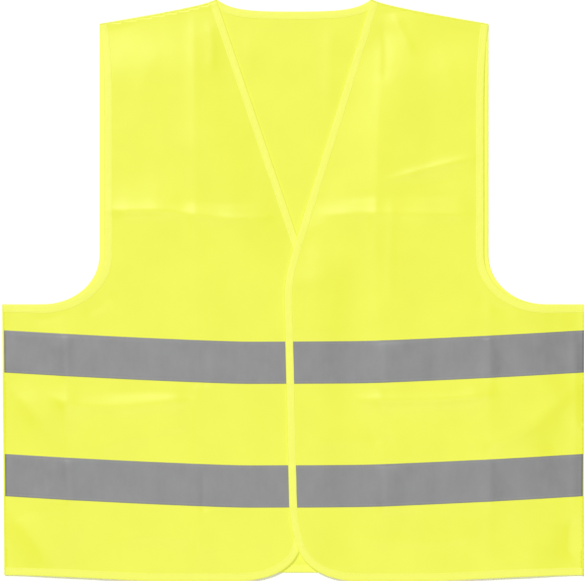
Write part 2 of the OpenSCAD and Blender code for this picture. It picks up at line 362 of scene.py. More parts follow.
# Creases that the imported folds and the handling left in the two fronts, as paths in millimetres
CREASES = [
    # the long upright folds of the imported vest
    dict(points=[(-120, 340), (-118, 150), (-117, -60), (-115, -340)],
         height=1.0, upper=45, lower=6, crest=1),
    dict(points=[(104, 310), (99, 190), (97, 40), (102, -120), (106, -300)],
         height=1.0, upper=38, lower=7, crest=1),
    dict(points=[(98, 240), (95, 120), (92, 10)], height=0.4, upper=5, lower=4),
    dict(points=[(117, 120), (115, 40), (114, -30)], height=0.45, upper=4, lower=5),
    dict(points=[(-274, -30), (-270, -140), (-267, -219), (-259, -310)], height=0.9, upper=12, lower=9),
    dict(points=[(231, 150), (231, -20), (231, -338)], height=0.75, upper=16, lower=9),
    dict(points=[(333, -40), (334, -150), (331, -270)], height=0.7, upper=6, lower=6),
    # the same folds where they cross the stiffer tapes
    dict(points=[(-106, -60), (-105, -118)], height=-0.9, upper=3.5, lower=3.5, fade=8),
    dict(points=[(-117, -60), (-116, -118)], height=-0.9, upper=3, lower=3, fade=8),
    dict(points=[(-107, -208), (-106, -266)], height=-1.1, upper=3.5, lower=5, fade=8),
    dict(points=[(105, -60), (107, -118)], height=1.1, upper=26, lower=5, fade=8),
    dict(points=[(107, -208), (108, -266)], height=1.1, upper=26, lower=5, fade=8),
    dict(points=[(-270, -52), (-268, -108)], height=0.8, upper=5, lower=3.5, fade=8),
    dict(points=[(-267, -200), (-265, -256)], height=0.8, upper=5, lower=3.5, fade=8),
    dict(points=[(231, -52), (231, -110)], height=0.9, upper=6, lower=4, fade=8),
    dict(points=[(231, -200), (231, -258)], height=0.9, upper=6, lower=4, fade=8),
    dict(points=[(333, -46), (333, -104)], height=0.5, upper=4, lower=4, fade=8),
    # the level fold across the chest
    dict(points=[(-236, 94), (-200, 93), (-165, 94), (-130, 93)],
         height=3.0, upper=17, lower=8, crest=0.6),
    dict(points=[(-175, 95), (-125, 91), (-85, 85), (-45, 84), (-10, 88)],
         height=1.5, upper=8, lower=14, crest=0.6),
    dict(points=[(-128, 76), (-95, 72), (-60, 78)], height=-0.5, upper=8, lower=8),
    dict(points=[(-150, 107), (-90, 103), (-30, 105)], height=-0.75, upper=16, lower=8),
    dict(points=[(22, 89), (90, 91), (150, 90), (228, 89)], height=1.6, upper=11, lower=14, crest=0.8),
    dict(points=[(40, 108), (120, 112), (205, 110)], height=-0.6, upper=14, lower=9),
    # the pinched crease that runs up to the left armhole, and the hollow under it
    dict(points=[(92, 124), (140, 138), (190, 151), (229, 159)],
         height=1.6, upper=5, lower=3.6, fade=50, crest=0.6),
    dict(points=[(120, 118), (170, 128), (215, 136)], height=-0.9, upper=7, lower=14),
    # the level fold between the two tapes
    dict(points=[(-300, -122), (-262, -137), (-200, -138), (-104, -127)],
         height=2.4, upper=18, lower=10, crest=3),
    dict(points=[(-255, -192), (-180, -172), (-110, -158)], height=1.3, upper=22, lower=14),
    dict(points=[(-240, -122), (-160, -121), (-90, -126)], height=-0.6, upper=8, lower=6),
    dict(points=[(60, -129), (120, -131), (190, -129), (248, -122)],
         height=2.5, upper=14, lower=8, crest=1.5),
    dict(points=[(14, -186), (60, -178), (104, -176)], height=1.0, upper=22, lower=14),
    # slanting folds beside it
    dict(points=[(-344, -108), (-312, -138), (-272, -186)],
         height=2.3, upper=26, lower=15, fade=45, crest=6),
    dict(points=[(206, -194), (272, -168), (345, -106)],
         height=3.0, upper=26, lower=14, fade=45, crest=5),
    dict(points=[(290, -196), (318, -184), (345, -160)], height=-0.8, upper=12, lower=12, fade=20),
    dict(points=[(84, -166), (100, -178), (124, -180)], height=-0.7, upper=8, lower=6, fade=16),
    dict(points=[(-196, -176), (-150, -168), (-110, -172)], height=-0.5, upper=9, lower=12, fade=30),
    dict(points=[(-60, -140), (-40, -165), (-38, -200)], height=0.5, upper=12, lower=12, fade=25),
    # under the lower tape
    dict(points=[(-344, -252), (-310, -292), (-272, -340)],
         height=2.3, upper=28, lower=15, fade=45, crest=6),
    dict(points=[(329, -266), (328, -324)], height=-1.2, upper=8, lower=8, fade=16),
    dict(points=[(60, -294), (150, -300), (240, -292)], height=0.9, upper=22, lower=14),
    dict(points=[(-230, -300), (-170, -290), (-100, -298)], height=1.5, upper=24, lower=14),
    # beside the neck and the armpits
    dict(points=[(114, 334), (126, 308), (142, 276)], height=1.05, upper=6, lower=6, fade=20),
    dict(points=[(104, 322), (109, 290), (107, 240)], height=-0.75, upper=6, lower=6, fade=20),
    dict(points=[(-104, 322), (-96, 296), (-100, 250)], height=0.7, upper=7, lower=7, fade=20),
    dict(points=[(-212, 0), (-226, -18), (-252, -30)], height=-0.8, upper=8, lower=8, fade=14),
    dict(points=[(-264, -24), (-288, -34), (-314, -36)], height=-0.5, upper=7, lower=7, fade=14),
    dict(points=[(214, -4), (238, -22), (264, -30)], height=-0.75, upper=7, lower=7, fade=14),
    dict(points=[(-150, 300), (-180, 250), (-190, 200)], height=0.35, upper=22, lower=22, fade=40),
    dict(points=[(170, 290), (190, 240), (196, 200)], height=0.5, upper=20, lower=16, fade=40),
]
BACK_CREASES = [
    dict(points=[(43, 326), (42, 280), (40, 200)], height=0.7, upper=20, lower=9),
    dict(points=[(-50, 320), (-54, 285), (-50, 235)], height=0.5, upper=16, lower=16),
]


def make_layers():
    """The layers of the back, the left front and the right front."""
    from_seam = nearest([back_edges[s][k] for s in SIDES for k in ("side", "shoulder")])[0]
    outer, neck = [], []
    for side in SIDES:
        free = front_edges[side]["free"]
        neck.append(free[free[:, 1] > NECK_FOOT_Y])
        outer += [front_edges[side]["armhole"], free[free[:, 1] < cad_box[0].y + HEM_BAND]]
    from_outer, from_neck = nearest(outer)[0], nearest(neck)[0]

    back = between(BACK_SEAM_Z, BACK_Z, from_seam / BACK_RISE)
    for each in BACK_CREASES:
        back = back + np.maximum(crease(**each), 0)

    front = between(FRONT_SEAM_Z, FRONT_Z, from_seam / FRONT_RISE)
    front = between(FRONT_NECK_Z, front, from_neck / EDGE_RISE)
    edge_z = between(FRONT_EDGE_Z, FRONT_EDGE_Z + EDGE_LIFT, from_seam / EDGE_RISE)
    front = between(edge_z, front, from_outer / FRONT_RISE)
    marks = rumple(seed=5, across=40, along=120, height=0.42)
    marks = marks + rumple(seed=11, across=110, along=60, height=0.35) + handled(seed=4, count=46)
    for each in CREASES:
        marks = marks + crease(**each)
    weaker_at_seams = smooth((from_seam + 4 * MM) / (14 * MM))
    front = front + marks * weaker_at_seams
    front = np.maximum(front, back + CLEAR)

    low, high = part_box("hook_patch")
    from_patch = np.abs(Y - (low.y + high.y) / 2) - (high.y - low.y) / 2
    lap = between(CLOSURE_LAP, LAP, from_patch / (25 * MM))
    for place, (full, none) in ((X, LAP_X), (Y, LAP_Y)):
        lap = lap * smooth((none - place) / (none - full))
    return Layer(back), Layer(front + lap), Layer(front)


back_layer, *front_layers = make_layers()
front_layer = dict(zip(SIDES, front_layers))

# ---------------------------------------------------------------- meshes


def new_piece(name, points, faces, material, uv=None):
    """A smooth mesh object in place. uv, if given, holds one pair for each point."""
    mesh = bpy.data.meshes.new(name)
    mesh.from_pydata(np.asarray(points).tolist(), [], [list(map(int, f)) for f in faces])
    mesh.update()
    if uv is not None:
        layer = mesh.uv_layers.new(name="flat")
        corner = np.zeros(len(mesh.loops), int)
        mesh.loops.foreach_get("vertex_index", corner)
        layer.data.foreach_set("uv", np.asarray(uv, np.float32)[corner].ravel())
    mesh.shade_smooth()
    mesh.materials.append(material)
    made = bpy.data.objects.new(name, mesh)
    bpy.context.collection.objects.link(made)
    return made


def inside(points, loop):
    """Which points lie inside a closed outline."""
    x, y = points[:, 0][:, None], points[:, 1][:, None]
    ax, ay = loop[:, 0], loop[:, 1]
    bx, by = np.roll(ax, -1), np.roll(ay, -1)
    spans = (ay > y) != (by > y)
    run = np.where(by == ay, 1, by - ay)
    return (spans & (x < ax + (bx - ax) * (y - ay) / run)).sum(1) % 2 == 1


def triangles(loop, step):
    """Points and counter-clockwise triangles that fill a closed outline."""
    low, high = loop.min(0), loop.max(0)
    rows = np.arange(low[1] + step / 2, high[1], step * math.sqrt(3) / 2)
    grid = []
    for k, y in enumerate(rows):
        x = np.arange(low[0] + step * (0.25 + 0.5 * (k % 2)), high[0], step)
        grid.append(np.column_stack([x, np.full(len(x), y)]))
    grid = np.concatenate(grid)
    grid = grid[inside(grid, loop)]
    far = nearest([loop], grid[:, 0], grid[:, 1])[0]
    grid = grid[far > 0.6 * step]
    points = np.concatenate([loop, grid])
    made = delaunay_2d_cdt(points.tolist(), [], [list(range(len(loop)))], 1, 1e-7)
    flat = np.array([list(p) for p in made[0]])
    faces = np.array([f for f in made[2] if len(f) == 3])
    a, b, c = (flat[faces[:, k]] for k in range(3))
    turn = (b[:, 0] - a[:, 0]) * (c[:, 1] - a[:, 1]) - (b[:, 1] - a[:, 1]) * (c[:, 0] - a[:, 0])
    faces[turn < 0] = faces[turn < 0][:, ::-1]
    return flat, faces


def cloth_sheet(name, loop, layer, step, material):
    """A sheet of cloth with its thickness, over the whole of a closed outline."""
    flat, faces = triangles(loop, step)
    count = len(flat)
    points = np.concatenate([layer.place(flat, CLOTH / 2), layer.place(flat, -CLOTH / 2)])
    rim = set()
    for a, b, c in faces:
        for start, end in ((a, b), (b, c), (c, a)):
            if (end, start) in rim:
                rim.remove((end, start))
            else:
                rim.add((start, end))
    walls = [(a + count, b + count, b, a) for a, b in sorted(rim)]
    solid = list(faces) + list(faces[:, ::-1] + count) + walls
    return new_piece(name, points, solid, material, np.concatenate([flat, flat]))


def sweep(stations, across, section, layers, raised=None):
    """Points, faces and flat places of a strip with a closed section.

    stations are points of its rail in plan and across a vector in plan at each. The section is a list
    of (distance across, offset from the middle of the cloth), on one layer or one for each of its points.
    raised(place, offset) may add to an offset."""
    count, ring = len(stations), len(section)
    if isinstance(layers, Layer):
        layers = [layers] * ring
    points = np.zeros((count, ring, 3))
    flat = np.zeros((count, ring, 2))
    flat[:, :, 0] = length_along(stations)[:, None]
    for k, ((u, offset), layer) in enumerate(zip(section, layers)):
        u = u * np.ones(count)
        place = stations + across * u[:, None]
        offset = offset * np.ones(count)
        if raised is not None:
            offset = offset + raised(place, offset)
        points[:, k] = layer.place(place, offset)
        flat[:, k, 1] = u
    index = np.arange(count * ring).reshape(count, ring)
    turned = np.roll(index, -1, axis=1)
    quads = np.stack([index[:-1], turned[:-1], turned[1:], index[1:]], -1).reshape(-1, 4)
    faces = [list(q) for q in quads] + [list(index[0][::-1]), list(index[-1])]
    points, flat = points.reshape(-1, 3), flat.reshape(-1, 2)
    if volume(points, quads) < 0:
        faces = [f[::-1] for f in faces]
    return points, faces, flat


def volume(points, quads):
    """Six times the volume inside a closed strip, negative where its faces point inwards."""
    a, b, c, d = (points[quads[:, k]] - points.mean(0) for k in range(4))
    return (np.cross(a, b) * c).sum() + (np.cross(a, c) * d).sum()


def strip_piece(name, strips, material):
    """One piece from several swept strips."""
    points, faces, start = [], [], 0
    for p, f, _ in strips:
        points.append(p)
        faces += [[v + start for v in face] for face in f]
        start += len(p)
    flat = np.concatenate([strip[2] for strip in strips])
    return new_piece(name, np.concatenate(points), faces, material, flat)


# ---------------------------------------------------------------- nodes and materials

PAINTED_GLOW = "#959f00"  # painted glow: partly the dye's fluorescence, partly painted light that lifts the shaded sides
CLOTH_DEEP, CLOTH_PALE = "#b6b528", "#bbba2e"
BRAID_DEEP, BRAID_PALE = "#c0be52", "#c9c661"
TAPE_DEEP, TAPE_PALE = "#7b7b7c", "#868686"
LABEL = "#f2f2ee"
PAPER = "#fbfbfb"
YELLOW_THREAD, GREY_THREAD = "#e9ee6a", "#a9aaa9"
HOOK_COLOUR, LOOP_COLOUR = "#dfe650", "#e6ec60"


def add(tree, kind, settings=(), inputs=(), onto=()):
    """Adds a node with its own settings, its inputs as numbers or as sockets to link, and the sockets
    that its outputs are linked onto."""
    made = tree.nodes.new(kind)
    for name, value in dict(settings).items():
        setattr(made, name, value)
    for name, value in dict(inputs).items():
        if isinstance(value, bpy.types.NodeSocket):
            tree.links.new(value, made.inputs[name])
        else:
            made.inputs[name].default_value = value
    for name, socket in dict(onto).items():
        tree.links.new(made.outputs[name], socket)
    return made


def linear(colour):
    """An sRGB hex colour as linear red, green, blue and alpha."""
    channels = [int(colour[i : i + 2], 16) / 255 for i in (1, 3, 5)]
    return [c / 12.92 if c <= 0.04045 else ((c + 0.055) / 1.055) ** 2.4 for c in channels] + [1]


def set_ends(ramp, *ends):
    """Gives the two ends of a colour ramp their places and colours."""
    for element, (place, colour) in zip(ramp.color_ramp.elements, ends):
        element.position = place
        element.color = linear(colour)


def waves_per_metre(pitch):
    """The scale of a Wave Texture whose bands are pitch metres apart."""
    return 2 * math.pi / 20 / pitch


def new_material(name, colour=None, **surface):
    """A material with one Principled shader, its colour and the shader's own values."""
    made = bpy.data.materials.new(name)
    made.use_nodes = True
    shader = made.node_tree.nodes["Principled BSDF"]
    if colour:
        shader.inputs["Base Color"].default_value = linear(colour)
    for key, value in surface.items():
        shader.inputs[key.replace("_", " ")].default_value = value
    return made, made.node_tree, shader.inputs


def flat_places(tree, scale=(1, 1, 1)):
    """The piece's own flat coordinates in metres, stretched by scale."""
    uv = add(tree, "ShaderNodeUVMap", {"uv_map": "flat"}).outputs["UV"]
    return add(tree, "ShaderNodeMapping", {}, {"Vector": uv, "Scale": scale}).outputs["Vector"]


def add_painted_glow(shader):
    """Painted glow: a constant yellow-green emission, partly the dye's fluorescence and partly painted light
    that lifts shaded creases and shadows as much as the lit sides.
    """
    shader["Emission Color"].default_value = linear(PAINTED_GLOW)
    shader["Emission Strength"].default_value = 1.0


def knit_material():
    """Warp-knitted polyester dyed fluorescent yellow: matt, with a slight bloom from its fine loops.
    Its wales are 1.3 mm apart and its courses 1.0 mm, and its tone drifts softly over each panel."""
    made, tree, shader = new_material(
        "knitted_fluorescent_polyester", Roughness=0.43, IOR=1.62, Sheen_Weight=0.1, Sheen_Roughness=0.5)
    # painted glow: constant emission that lifts the cloth's shade, partly standing for fluorescence
    add_painted_glow(shader)
    place = flat_places(tree)
    drift = add(tree, "ShaderNodeTexNoise", {},
                {"Vector": place, "Scale": 1 / (60 * MM), "Detail": 3.0, "Roughness": 0.55})
    tone = add(tree, "ShaderNodeValToRGB", {}, {"Fac": drift.outputs["Fac"]}, {"Color": shader["Base Color"]})
    set_ends(tone, (0.3, CLOTH_DEEP), (0.7, CLOTH_PALE))
    wales = add(tree, "ShaderNodeTexWave", {"bands_direction": "X"},
                {"Vector": place, "Scale": waves_per_metre(1.3 * MM), "Distortion": 0.6, "Detail": 1.0})
    courses = add(tree, "ShaderNodeTexWave", {"bands_direction": "Y"},
                  {"Vector": place, "Scale": waves_per_metre(1.0 * MM), "Distortion": 0.8, "Detail": 1.0})
    loops = add(tree, "ShaderNodeMath", {"operation": "MULTIPLY"},
                {0: wales.outputs["Fac"], 1: courses.outputs["Fac"]})
    add(tree, "ShaderNodeBump", {},
        {"Strength": 0.3, "Distance": 0.05 * MM, "Height": loops.outputs["Value"]},
        {"Normal": shader["Normal"]})
    return made


def braid_material():
    """Soft knitted polyester braid, folded round the edges and stitched: ribs across it 1.1 mm apart,
    pinched a little at each stitch and puckered unevenly along its sewing line."""
    made, tree, shader = new_material(
        "knitted_edging_braid", Roughness=0.5, Sheen_Weight=0.15, Sheen_Roughness=0.45)
    # painted glow: constant emission that lifts the braid's shade, partly standing for fluorescence
    add_painted_glow(shader)
    place = flat_places(tree)
    ribs = add(tree, "ShaderNodeTexWave", {"bands_direction": "X"},
               {"Vector": place, "Scale": waves_per_metre(1.1 * MM), "Distortion": 0.5, "Detail": 1.0})
    rows = add(tree, "ShaderNodeTexWave", {"bands_direction": "Y"},
               {"Vector": place, "Scale": waves_per_metre(1.9 * MM), "Distortion": 0.3})
    pinch = add(tree, "ShaderNodeTexWave", {"bands_direction": "X"},
                {"Vector": place, "Scale": waves_per_metre(STITCH), "Distortion": 0.2})
    pucker = add(tree, "ShaderNodeTexNoise", {},
                 {"Vector": flat_places(tree, (1, 1.6, 1)), "Scale": 1 / (9 * MM), "Detail": 2.0})
    relief = ribs.outputs["Fac"]
    for texture, share in ((rows, 0.6), (pinch, 0.8), (pucker, 9.0)):
        sum_up = {0: texture.outputs["Fac"], 1: share, 2: relief}
        relief = add(tree, "ShaderNodeMath", {"operation": "MULTIPLY_ADD"}, sum_up).outputs["Value"]
    add(tree, "ShaderNodeBump", {}, {"Strength": 0.4, "Distance": 0.14 * MM, "Height": relief},
        {"Normal": shader["Normal"]})
    tone = add(tree, "ShaderNodeValToRGB", {}, {"Fac": ribs.outputs["Fac"]}, {"Color": shader["Base Color"]})
    set_ends(tone, (0, BRAID_DEEP), (1, BRAID_PALE))
    return made


def tape_material():
    """Silver retroreflective tape, a cloth backing coated with fine glass beads: an even grey by
    daylight with a soft gleam. The beads are drawn 0.5 mm apart, coarser than they are, to show."""
    made, tree, shader = new_material(
        "glass_bead_reflective_tape", Roughness=0.5, Metallic=0.25, Sheen_Weight=0.05)
    beads = add(tree, "ShaderNodeTexVoronoi", {},
                {"Vector": flat_places(tree), "Scale": 1 / (0.5 * MM), "Randomness": 0.7})
    wear = add(tree, "ShaderNodeTexNoise", {},
               {"Vector": flat_places(tree, (1.6, 1, 1)), "Scale": 1 / (35 * MM), "Detail": 4.0,
                "Roughness": 0.6}).outputs["Fac"]
    tone = add(tree, "ShaderNodeValToRGB", {}, {"Fac": wear}, {"Color": shader["Base Color"]})
    set_ends(tone, (0.3, TAPE_DEEP), (0.7, TAPE_PALE))
    add(tree, "ShaderNodeMapRange", {},
        {"Value": wear, "From Min": 0.3, "From Max": 0.7, "To Min": 0.44, "To Max": 0.56},
        {"Result": shader["Roughness"]})
    add(tree, "ShaderNodeBump", {},
        {"Strength": 0.2, "Distance": 0.05 * MM, "Height": beads.outputs["Distance"]},
        {"Normal": shader["Normal"]})
    return made


def thread_material(name, colour):
    """Spun polyester thread: two plies twisted, drawn as slanting ridges 0.5 mm apart, with a dull sheen."""
    made, tree, shader = new_material(name, colour, Roughness=0.6, Sheen_Weight=0.25)
    place = add(tree, "ShaderNodeTexCoord").outputs["Object"]
    plies = add(tree, "ShaderNodeTexWave", {"bands_direction": "DIAGONAL"},
                {"Vector": place, "Scale": waves_per_metre(0.5 * MM)})
    add(tree, "ShaderNodeBump", {}, {"Strength": 0.5, "Distance": 0.06 * MM, "Height": plies.outputs["Fac"]},
        {"Normal": shader["Normal"]})
    return made


def pile_material(name, colour, rough):
    """Nylon pile of a hook and loop closure: clear fine filaments with a low shine."""
    made, tree, shader = new_material(name, colour, Roughness=rough, Sheen_Weight=0.3)
    place = add(tree, "ShaderNodeTexCoord").outputs["Object"]
    grain = add(tree, "ShaderNodeTexNoise", {}, {"Vector": place, "Scale": 1 / (0.8 * MM), "Detail": 2.0})
    add(tree, "ShaderNodeBump", {}, {"Strength": 0.4, "Distance": 0.1 * MM, "Height": grain.outputs["Fac"]},
        {"Normal": shader["Normal"]})
    return made


def ribbon_material():
    """White satin ribbon, woven: a smooth face with a silky line along its 0.4 mm warp."""
    made, tree, shader = new_material("woven_satin_ribbon", LABEL, Roughness=0.38, Sheen_Weight=0.15)
    warp = add(tree, "ShaderNodeTexWave", {"bands_direction": "Y"},
               {"Vector": flat_places(tree), "Scale": waves_per_metre(0.4 * MM), "Distortion": 0.4})
    add(tree, "ShaderNodeBump", {}, {"Strength": 0.3, "Distance": 0.04 * MM, "Height": warp.outputs["Fac"]},
        {"Normal": shader["Normal"]})
    return made


knit = knit_material()
braid = braid_material()
tape = tape_material()
yellow_thread = thread_material("spun_polyester_thread_yellow", YELLOW_THREAD)
grey_thread = thread_material("spun_polyester_thread_grey", GREY_THREAD)
hook_nylon = pile_material("moulded_nylon_hook_tape", HOOK_COLOUR, 0.4)
loop_nylon = pile_material("brushed_nylon_loop_tape", LOOP_COLOUR, 0.75)
ribbon = ribbon_material()


def bend(piece):
    """Bakes the transform of a piece of one front into its mesh; it does not bend where that front folds
    back.
    """
    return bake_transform(piece)


# ---------------------------------------------------------------- cloth


def make_cloths():
    """The three cloths and their closed outlines."""
    order = ["side", "armhole", "shoulder"]
    left, right = ([back_edges[side][k] for k in order[::side]] for side in SIDES)
    outlines = {"back": closed_outline(*left, back_neck, *right, back_hem)}
    made = {"back": cloth_sheet("back_cloth", outlines["back"], back_layer, BACK_MESH, knit)}
    order.append("free")
    for side in SIDES:
        outlines[side] = closed_outline(*(front_edges[side][k] for k in order[::side]))
        name = SIDE_NAME[side] + "_front_cloth"
        made[side] = cloth_sheet(name, outlines[side], front_layer[side], FRONT_MESH, knit)
    return made, outlines


# ---------------------------------------------------------------- reflective tapes

TAPE_SECTION = [  # across the tape in mm, and its share of the tape's thickness
    (0.05, 0.0), (0.0, 0.55), (0.35, 0.95), (1.6, 1.08), (2.6, 0.78), (3.6, 1.08), (6.0, 1.0),
    (12.0, 1.0), (19.0, 1.0), (25.0, 1.0), (31.0, 1.0), (38.0, 1.0),
    (44.0, 1.0), (46.4, 1.08), (47.4, 0.78), (48.4, 1.08), (49.65, 0.95), (50.0, 0.55), (49.95, 0.0),
    (38.0, 0.0), (25.0, 0.0), (12.0, 0.0),
]


def tape_middle(loop):
    """A line along the middle of a tape's outline."""
    where = np.linspace(loop[:, 0].min() + 1 * MM, loop[:, 0].max() - 1 * MM, 24)
    middle = []
    for x in where:
        crossings = []
        for a, b in zip(loop, np.roll(loop, -1, axis=0)):
            if (a[0] - x) * (b[0] - x) <= 0 and a[0] != b[0]:
                crossings.append(a[1] + (b[1] - a[1]) * (x - a[0]) / (b[0] - a[0]))
        middle.append((max(crossings) + min(crossings)) / 2)
    return where, middle


def tape_top(level):
    """The upper edge of a tape as heights over x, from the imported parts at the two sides."""
    points = []
    for side in SIDES:
        loop = outline(SIDE_NAME[side] + "_" + level + "_tape")
        points.append(loop[loop[:, 1] > np.interp(loop[:, 0], *tape_middle(loop))])
    points = np.concatenate(points)
    return points[np.argsort(points[:, 0])].T


TOPS = {level: tape_top(level) for level in ("upper", "lower")}


def over_tape(place):
    """How much a tape raises what is sewn over it."""
    x, y = place.T
    ease = 2 * MM
    lift = np.zeros_like(x)
    for top in TOPS.values():
        down = np.interp(x, *top) - y
        lift = np.maximum(lift, smooth((down + ease) / ease) * smooth((TAPE_W + ease - down) / ease))
    return TAPE * lift


def at_height(path, shift):
    """The x of an upright edge for a height y, moved sideways by shift."""
    path = path[np.argsort(path[:, 1])]
    return lambda y: float(np.interp(y, path[:, 1], path[:, 0]) + shift)


def tape_rails(level, start, end):
    """The top edge of a tape and the vector across it, between two lines given as x for a height y."""
    top_x, top_y = TOPS[level]
    drops = (0, TAPE_W)
    y = np.interp(0, top_x, top_y)
    spans = [(start(y - drop), end(y - drop)) for drop in drops]
    count = max(int(abs(b - a) / (4 * MM)) + 2 for a, b in spans)
    rails = []
    for (a, b), drop in zip(spans, drops):
        x = np.linspace(a, b, count)
        rail = np.column_stack([x, np.interp(x, top_x, top_y) - drop])
        rails.append(softened(rail, np.linalg.norm(rail[1] - rail[0]), 12 * MM))
    count = min(len(rail) for rail in rails)
    upper, lower = (spread(rail, count) for rail in rails)
    return upper, (lower - upper) / TAPE_W


def make_tape(name, rails, layer, face):
    """A tape on the upper (1) or lower (-1) face of a cloth, and the rows of thread along its two edges,
    one on the tape and one on the other face of the cloth."""
    stations, across = rails
    base = CLOTH / 2 + 0.02 * MM
    section = [(u * MM, face * (base + share * TAPE)) for u, share in TAPE_SECTION]
    rows = []
    for u in (TAPE_ROW, TAPE_W - TAPE_ROW):
        for offset in (face * (CLOTH / 2 + TAPE * 0.95), -face * (CLOTH / 2 + 0.04 * MM)):
            rows.append(layer.place(stations + across * u, offset))
    return strip_piece(name, [sweep(stations, across, section, layer)], tape), rows


def make_tapes():
    """All six tapes, and the rows of thread on each cloth."""
    made, rows = {}, {LEFT: [], RIGHT: [], "back": []}
    for level in ("upper", "lower"):
        for side in SIDES:
            free = front_edges[side]["free"]
            straight = free[(free[:, 1] < UPRIGHT) & (np.abs(free[:, 0]) < UPRIGHT)]
            inner = at_height(straight, FREE_GAP * side)
            outer = at_height(front_edges[side]["side"], -SIDE_GAP * side)
            name = SIDE_NAME[side] + "_" + level + "_band"
            made[side, level], found = make_tape(name, tape_rails(level, inner, outer), front_layer[side], 1)
            rows[side] += found
        ends = [at_height(back_edges[side]["side"], -SIDE_GAP * side) for side in (RIGHT, LEFT)]
        name = "back_" + level + "_band"
        made["back", level], found = make_tape(name, tape_rails(level, *ends), back_layer, -1)
        rows["back"] += found
    return made, rows


# ---------------------------------------------------------------- edging


def edging_section(wave):
    """The section of a braid folded round a cut edge: its distance in from the edge and its offset.
    wave, one number for each station, makes it fuller or flatter by a little."""
    base, w = CLOTH / 2 + 0.02 * MM, EDGING_W
    puff = EDGING * (1 + 0.16 * wave)
    inner = w + 0.25 * MM * wave
    half = [
        (inner, base), (inner - 0.02 * MM, base + 0.7 * puff), (inner - 0.35 * MM, base + puff),
        (inner - EDGING_ROW, base + 0.8 * puff), (inner - 3.2 * MM, base + 1.06 * puff),
        (w * 0.45, base + 1.12 * puff), (w * 0.2, base + 1.05 * puff), (0.5 * MM, base + 0.95 * puff),
        (-0.15 * MM, base + 0.35 * puff), (-0.38 * MM, 0.12 * MM),
    ]
    inner_half = [(w * 0.5, base), (-0.03 * MM, base), (-0.05 * MM, 0.1 * MM)]
    lower = [(u, -v) for u, v in reversed(half)]
    return half + lower + [(u, -v) for u, v in inner_half] + inner_half[::-1]


def make_edging(name, paths):
    """The braid along some paths of (edge, layer, face of the tape), and the rows of its stitches."""
    strips, rows = [], []
    for path, layer, face in paths:
        path = even(path, STRIP_STEP)
        across = inward(path)
        knots = np.arange(0, len(path) + 6, 6)
        wave = np.random.default_rng(len(path)).uniform(-1, 1, len(knots))
        wave = np.interp(np.arange(len(path)), knots, wave)

        def raised(place, offset, face=face):
            return face * over_tape(place) * (offset * face > 0)

        strips.append(sweep(path, across, edging_section(wave), layer, raised))
        place = path + across * (EDGING_W - EDGING_ROW)
        for sign in (1, -1):
            offset = sign * (CLOTH / 2 + EDGING * 0.8)
            rows.append(layer.place(place, offset + raised(place, offset)))
    return strip_piece(name, strips, braid), rows


def make_edgings():
    """The braid of the front edges, the armholes, the back neck and the back hem, and its stitches."""
    made, rows = {}, {"back": []}
    for side in SIDES:
        name, layer = SIDE_NAME[side], front_layer[side]
        made[side], rows[side] = make_edging(name + "_front_edging", [(front_edges[side]["free"], layer, 1)])
        round_arm = [(front_edges[side]["armhole"], layer, 1), (back_edges[side]["armhole"], back_layer, -1)]
        made[side, "armhole"], found = make_edging(name + "_armhole_edging", round_arm)
        rows["back"] += found
    for name, path in (("neck", back_neck), ("hem", back_hem)):
        made[name], found = make_edging("back_" + name + "_edging", [(path, back_layer, -1)])
        rows["back"] += found
    return made, rows


# ---------------------------------------------------------------- seams between front and back


def make_join(side, which):
    """The rolled seam along a shoulder or a side, from the back cloth up to the front one."""
    front, upper = front_layer[side], CLOTH / 2 + 0.12 * MM
    path = even(back_edges[side][which], STRIP_STEP)
    profile = [
        (SEAM_W + 0.3 * MM, -0.02 * MM, front),
        (SEAM_W - 0.3 * MM, upper, front),
        (SEAM_W * 0.5, upper + 0.06 * MM, front),
        (0.1 * MM, upper, front),
        (-0.45 * MM, -0.05 * MM, front),
        (-0.6 * MM, -0.5 * MM, front),
        (-0.6 * MM, 0.4 * MM, back_layer),
        (-0.45 * MM, 0.05 * MM, back_layer),
        (0.1 * MM, -upper, back_layer),
        (SEAM_W * 0.5, -upper - 0.12 * MM, back_layer),
        (SEAM_W - 0.1 * MM, -upper, back_layer),
        (SEAM_W, 0.02 * MM, back_layer),
    ]
    section = [(u, offset) for u, offset, _ in profile]
    layers = [layer for _, _, layer in profile]

    def raised(place, offset):
        return over_tape(place) * np.sign(offset) * (np.abs(offset) > CLOTH / 2)

    strip = sweep(path, inward(path), section, layers, raised)
    return strip_piece(SIDE_NAME[side] + "_" + which + "_join", [strip], knit)


# ---------------------------------------------------------------- threads and pile, by Geometry Nodes


def new_tree(name, inputs):
    """A geometry node tree with named inputs, and its two end nodes."""
    tree = bpy.data.node_groups.new(name, "GeometryNodeTree")
    for label, kind in [("Geometry", "Geometry")] + inputs:
        tree.interface.new_socket(label, in_out="INPUT", socket_type="NodeSocket" + kind)
    tree.interface.new_socket("Geometry", in_out="OUTPUT", socket_type="NodeSocketGeometry")
    return tree, add(tree, "NodeGroupInput").outputs, add(tree, "NodeGroupOutput").inputs


def close_tree(tree, instances, material, end):
    """Makes instances real, gives them smooth faces and the material, and ends the tree."""
    real = add(tree, "GeometryNodeRealizeInstances", {}, {"Geometry": instances})
    soft = add(tree, "GeometryNodeSetShadeSmooth", {}, {"Geometry": real.outputs["Geometry"]})
    add(tree, "GeometryNodeSetMaterial", {}, {"Geometry": soft.outputs["Geometry"], "Material": material},
        {"Geometry": end["Geometry"]})
    return tree


